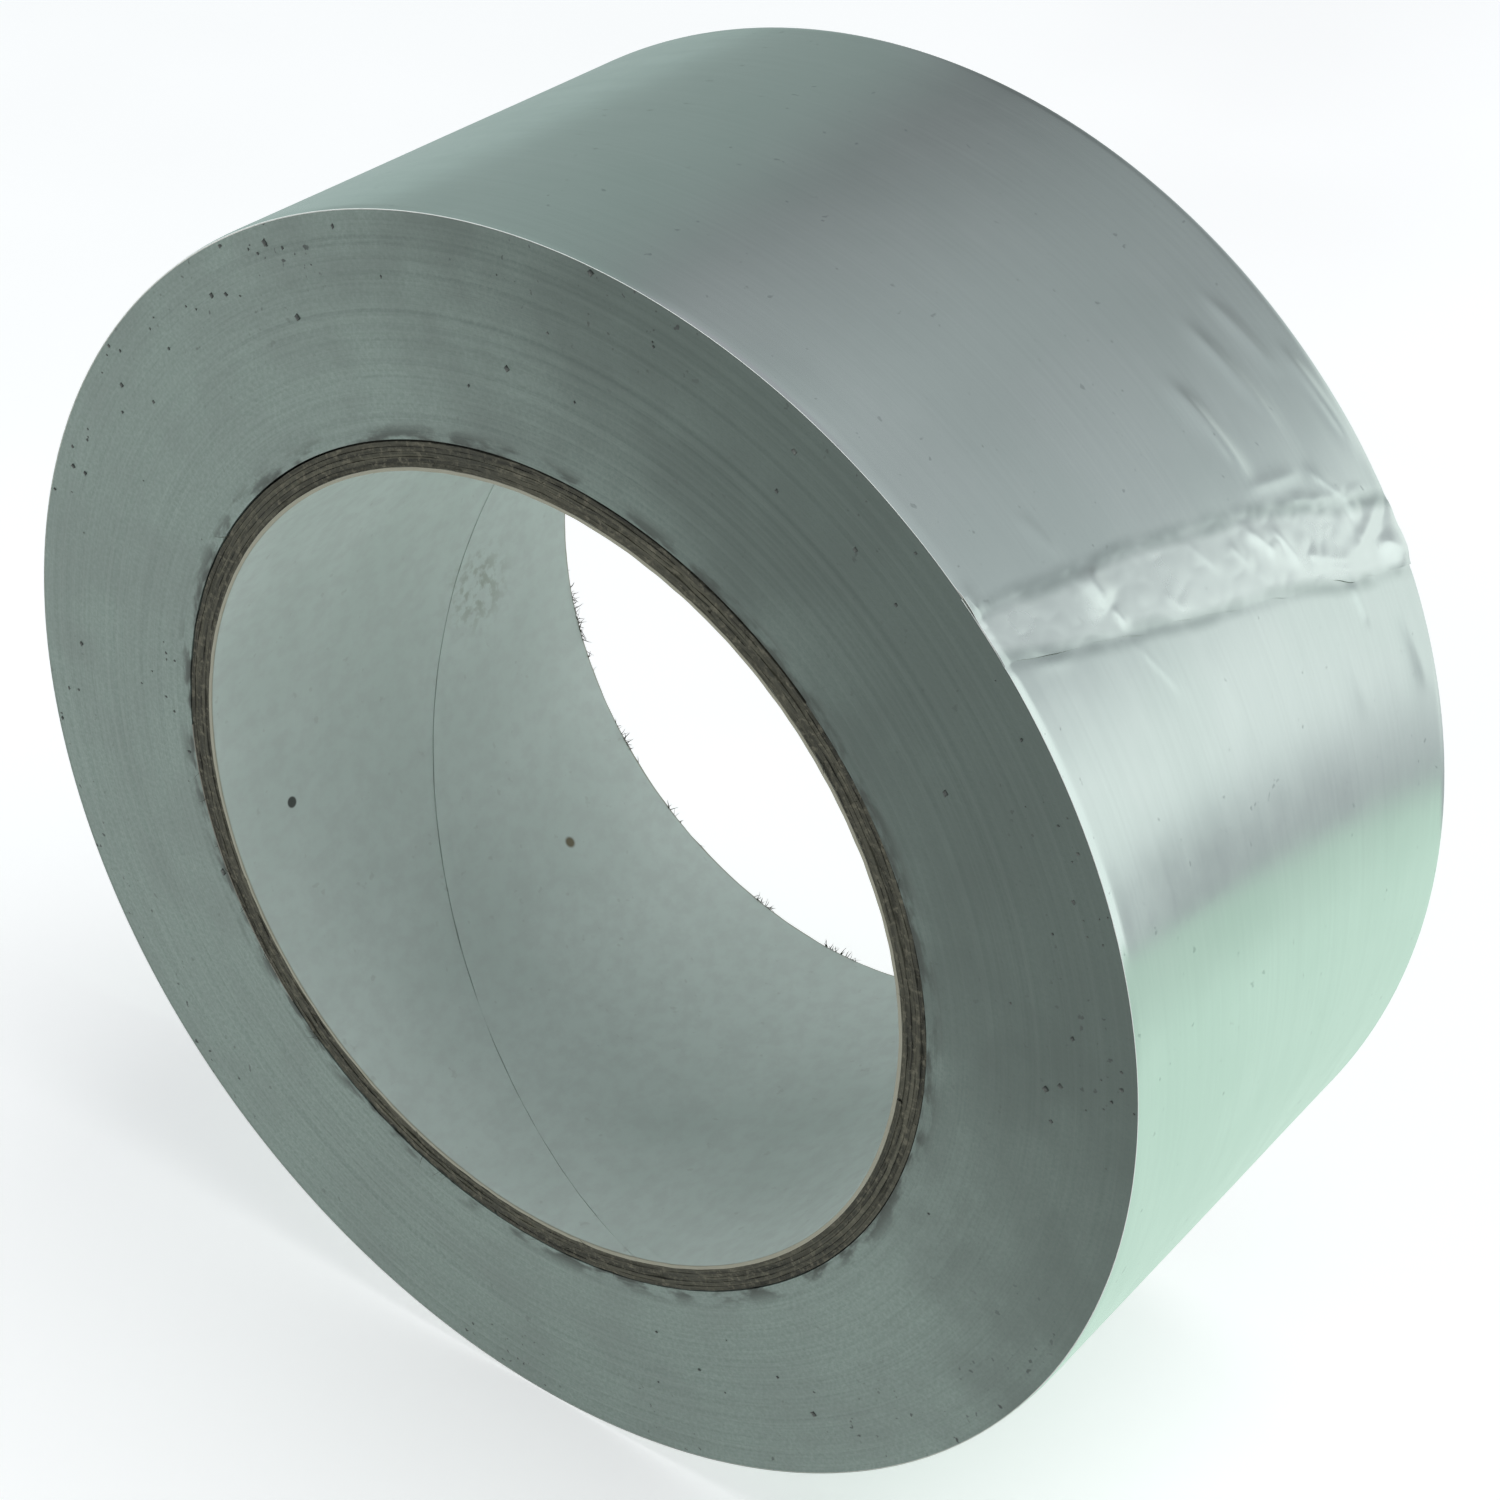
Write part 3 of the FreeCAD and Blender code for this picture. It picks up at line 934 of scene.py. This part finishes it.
def cove_glow(azimuth, elevation):
    """The cove's colour in each direction, in degrees: a mint floor, a bright window and a dim wall.

    The floor's far edge and the window's sill drop away to the left. The window's right end is taller and
    brighter.
    """
    sill = -5 - (np.clip(azimuth, 43, 62) - 46) - 14 * smoothstep(43.5, 37, azimuth)
    lintel = 14 + 22 * smoothstep(44, 36, azimuth)
    floor_edge = -17 - 0.45 * (np.clip(azimuth, 30, 75) - 43)
    window = WINDOW + 0.18 * smoothstep(43.5, 38, azimuth)
    window_share = smoothstep(sill - 6.5, sill + 5, elevation) * smoothstep(118, 95, azimuth)
    window_share = window_share * smoothstep(lintel + 12, lintel - 12, elevation)
    wall = np.where(elevation < sill, WALL_BELOW_SILL, wall_glow(azimuth, elevation))
    glow = wall + (window - wall) * window_share
    tint_left = smoothstep(112, 130, azimuth)[..., None]
    tint_low = smoothstep(12, 3, elevation)[..., None]
    tint = LAVENDER + (PALE - LAVENDER) * window_share[..., None]
    tint = tint + (MINT_WALL - 0.07 * tint_low - tint) * tint_left
    glow = glow[..., None] * tint
    floor = FLOOR_FAR + (FLOOR_NEAR - FLOOR_FAR) * smoothstep(-20, -36, elevation)
    on_floor = smoothstep(1.6, -1.6, elevation - floor_edge)[..., None]
    return glow + (floor[..., None] * MINT_FLOOR - glow) * on_floor


def cove_material():
    """Shines with the glow that is stored on the mesh's points."""
    material = bpy.data.materials.new("cove")
    material.use_nodes = True
    tree = material.node_tree
    emission = tree.nodes.new("ShaderNodeEmission")
    stored = tree.nodes.new("ShaderNodeAttribute")
    stored.attribute_name = "glow"
    tree.links.new(stored.outputs["Color"], emission.inputs["Color"])
    tree.links.new(emission.outputs[0], tree.nodes["Material Output"].inputs["Surface"])
    return material


def make_cove():
    """A glowing sheet round the back of the roll, floor and wall, that only reflections see."""
    azimuth = np.radians(np.linspace(-35, 185, 148))[:, None]
    ground = np.geomspace(COVE_INNER, COVE_RADIUS, 80)
    climb = np.linspace(0.0, COVE_HEIGHT, 80)[1:]
    reach = np.concatenate([ground, np.full(climb.size, COVE_RADIUS)])[None, :]
    level = np.concatenate([np.zeros(ground.size), climb])[None, :] + CAD_LOW.z + COVE_OFF_FLOOR
    points = np.stack(np.broadcast_arrays(reach * np.cos(azimuth), reach * np.sin(azimuth), level), axis=-1)
    away = points - COVE_VIEWPOINT
    elevation = np.degrees(np.arctan2(away[..., 2], np.hypot(away[..., 0], away[..., 1])))
    # Counted from -90 degrees, so that it jumps only on the floor close by, where the glow is the same anyway
    azimuth_from_roll = np.mod(np.degrees(np.arctan2(away[..., 1], away[..., 0])) + 90, 360) - 90
    glow = cove_glow(azimuth_from_roll, elevation)
    cove = mesh_piece("cove", points, grid_faces(points.shape[0], points.shape[1]), cove_material())
    layer = cove.data.attributes.new("glow", "FLOAT_COLOR", "POINT")
    layer.data.foreach_set("color", np.concatenate([glow, np.ones((*glow.shape[:2], 1))], axis=-1).ravel())
    cove.visible_camera = False
    cove.visible_diffuse = False
    cove.visible_shadow = False


def make_lights():
    """Two soft lights, and an even grey all round."""
    make_light("key_light", (-0.30, -0.42, -0.02), (0.35, 0.35), 0.86, (1.0, 1.0, 0.98))
    make_light("top_light", (0.50, 0.14, 1.35), (1.0, 1.0), 9.0, (0.97, 1.0, 0.98))
    world = bpy.data.worlds.new("studio")
    world.use_nodes = True
    world.node_tree.nodes["Background"].inputs["Color"].default_value = (0.42, 0.425, 0.455, 1)
    world.node_tree.nodes["Background"].inputs["Strength"].default_value = 1.0
    bpy.context.scene.world = world


# ---------------------------------------------------------------- all together


def main():
    make_camera()
    foil, adhesive, paper = foil_material(), adhesive_material(), paper_material()
    make_last_turn(foil, adhesive, paper)
    make_tape_end(foil, adhesive, paper)
    make_wound_tape(side_material())
    boards = [board_material(number) for number in range(1, BOARD_PLIES + 1)]
    make_board(boards)
    make_lining(lining_material())
    make_fibres(boards[0])
    make_crumbs(speck_material())
    frame["nodes"]["core_tie_strip"].data.materials.clear()
    frame["nodes"]["core_tie_strip"].data.materials.append(tie_material())
    make_floor()
    make_cove()
    make_lights()
    bpy.context.scene.view_settings.view_transform = "Standard"


main()
